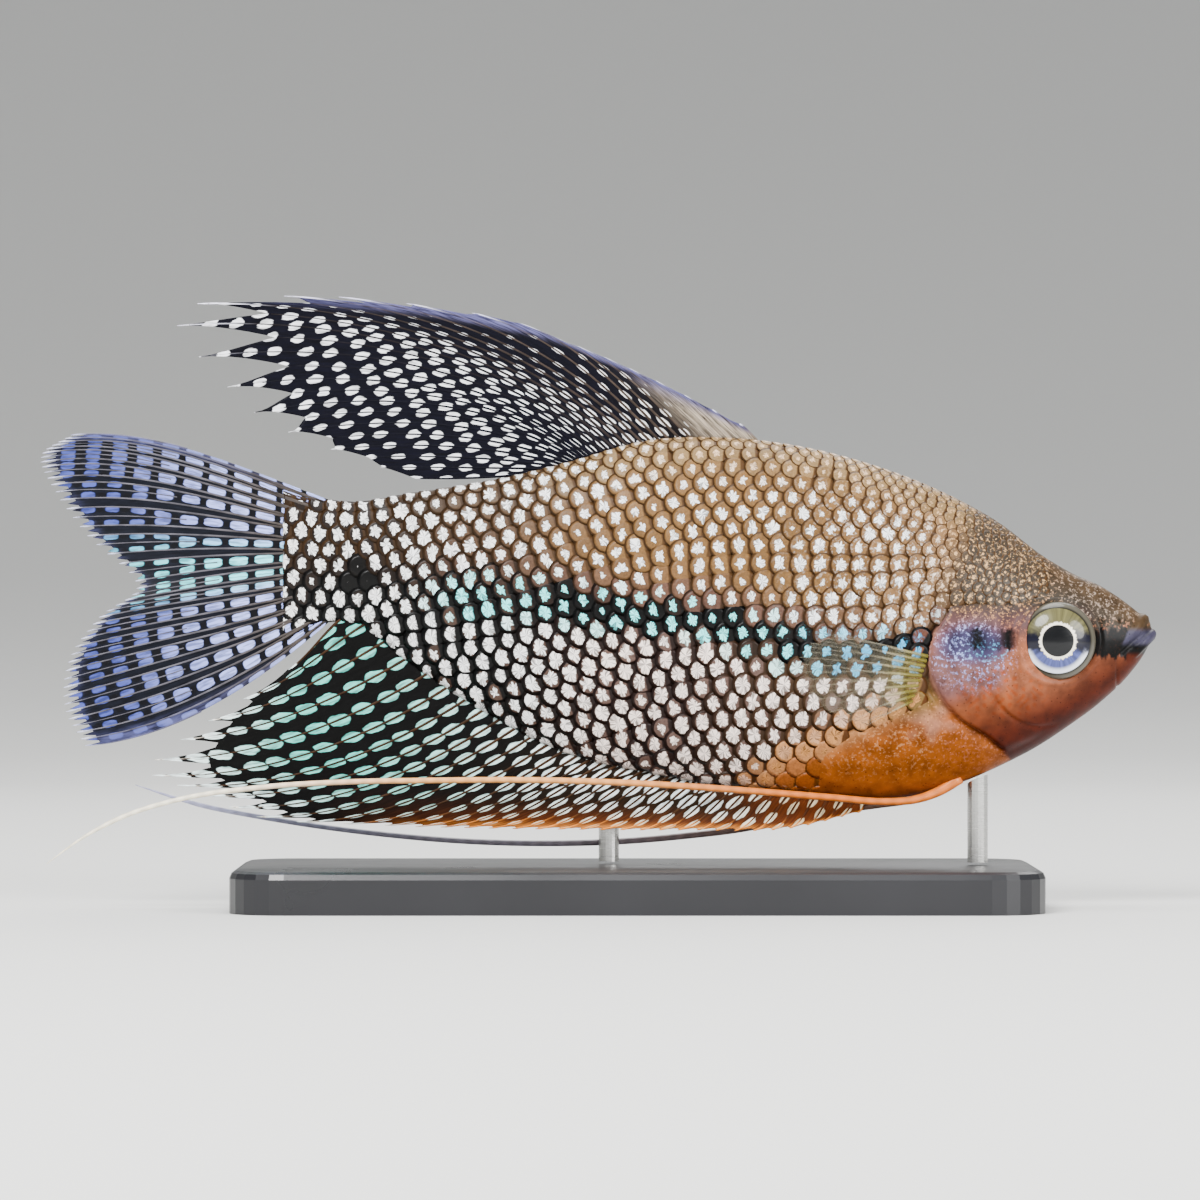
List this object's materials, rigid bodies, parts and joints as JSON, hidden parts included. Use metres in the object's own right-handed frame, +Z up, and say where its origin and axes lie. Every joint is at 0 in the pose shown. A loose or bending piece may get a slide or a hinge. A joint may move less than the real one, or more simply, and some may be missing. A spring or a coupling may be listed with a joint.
{
  "type": "pearl gourami display model",
  "caption": "Life-size still model of an adult male pearl gourami with spread fins and long pelvic filaments, held over a flat base by short rods.",
  "frame": {"origin": "on the floor under the middle of the whole model", "axes": "+Z up; the fish faces +X, its right side faces -Y"},
  "size_m": [0.1201, 0.04, 0.0656],
  "materials": {
    "scaled_skin": "small overlapping scales, tan with pearl-white spots and a dark band",
    "orange_skin": "smooth skin, orange below and tan above",
    "dark_fin": "thin dark membrane with pale rays and spots",
    "clear_fin": "nearly clear membrane",
    "filament": "soft ray, orange to cream",
    "eye": "wet and glossy, pale gold ring round a black pupil",
    "base": "black satin",
    "rod": "satin steel"
  },
  "bodies": {
    "root": {"head": "orange_skin", "lower_jaw": "orange_skin", "gill_cover_right": "orange_skin", "gill_cover_left": "orange_skin", "eye_right": "eye", "eye_left": "eye", "trunk": "scaled_skin", "tail_stalk": "scaled_skin", "dorsal_fin": "dark_fin", "anal_fin": "dark_fin", "caudal_fin": "dark_fin", "pectoral_fin_right": "clear_fin", "pectoral_fin_left": "clear_fin", "pelvic_filament_right_1": "filament", "pelvic_filament_right_2": "filament", "pelvic_filament_right_3": "filament", "pelvic_filament_left_1": "filament", "pelvic_filament_left_2": "filament", "pelvic_filament_left_3": "filament", "stand_base": "base", "stand_rod_front": "rod", "stand_rod_rear": "rod"}
  },
  "joints": []
}
